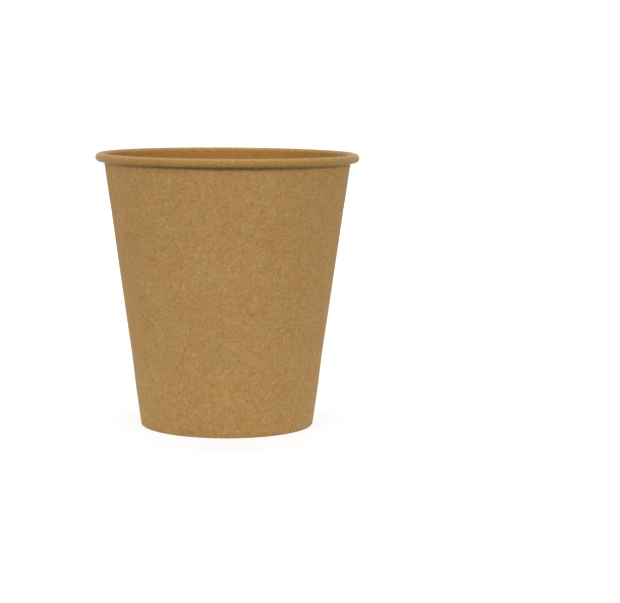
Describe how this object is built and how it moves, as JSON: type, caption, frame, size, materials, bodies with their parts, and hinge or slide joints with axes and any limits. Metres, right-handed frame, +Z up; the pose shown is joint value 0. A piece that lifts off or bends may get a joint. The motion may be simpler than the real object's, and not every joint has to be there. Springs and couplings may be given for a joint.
{
  "type": "paper coffee cup",
  "caption": "Plain kraft paper coffee cup with a rolled rim, a lapped side seam and a recessed bottom disc.",
  "frame": {"origin": "centre of the standing ring, on the plane that the cup stands on", "axes": "+Z up along the cup's axis; -Y is the side that the picture shows; +X to the right seen from the front; the side seam is 15 degrees round from +X towards +Y"},
  "size_m": [0.0901, 0.09, 0.0935],
  "materials": {
    "kraft_outside": "matte uncoated brown kraft paperboard with fine fibres and specks",
    "kraft_inside": "brown kraft paperboard with a thin clear moisture film on its inner side"
  },
  "bodies": {
    "root": {"side_wall": "kraft_outside", "bottom_disc": "kraft_inside"}
  },
  "joints": []
}
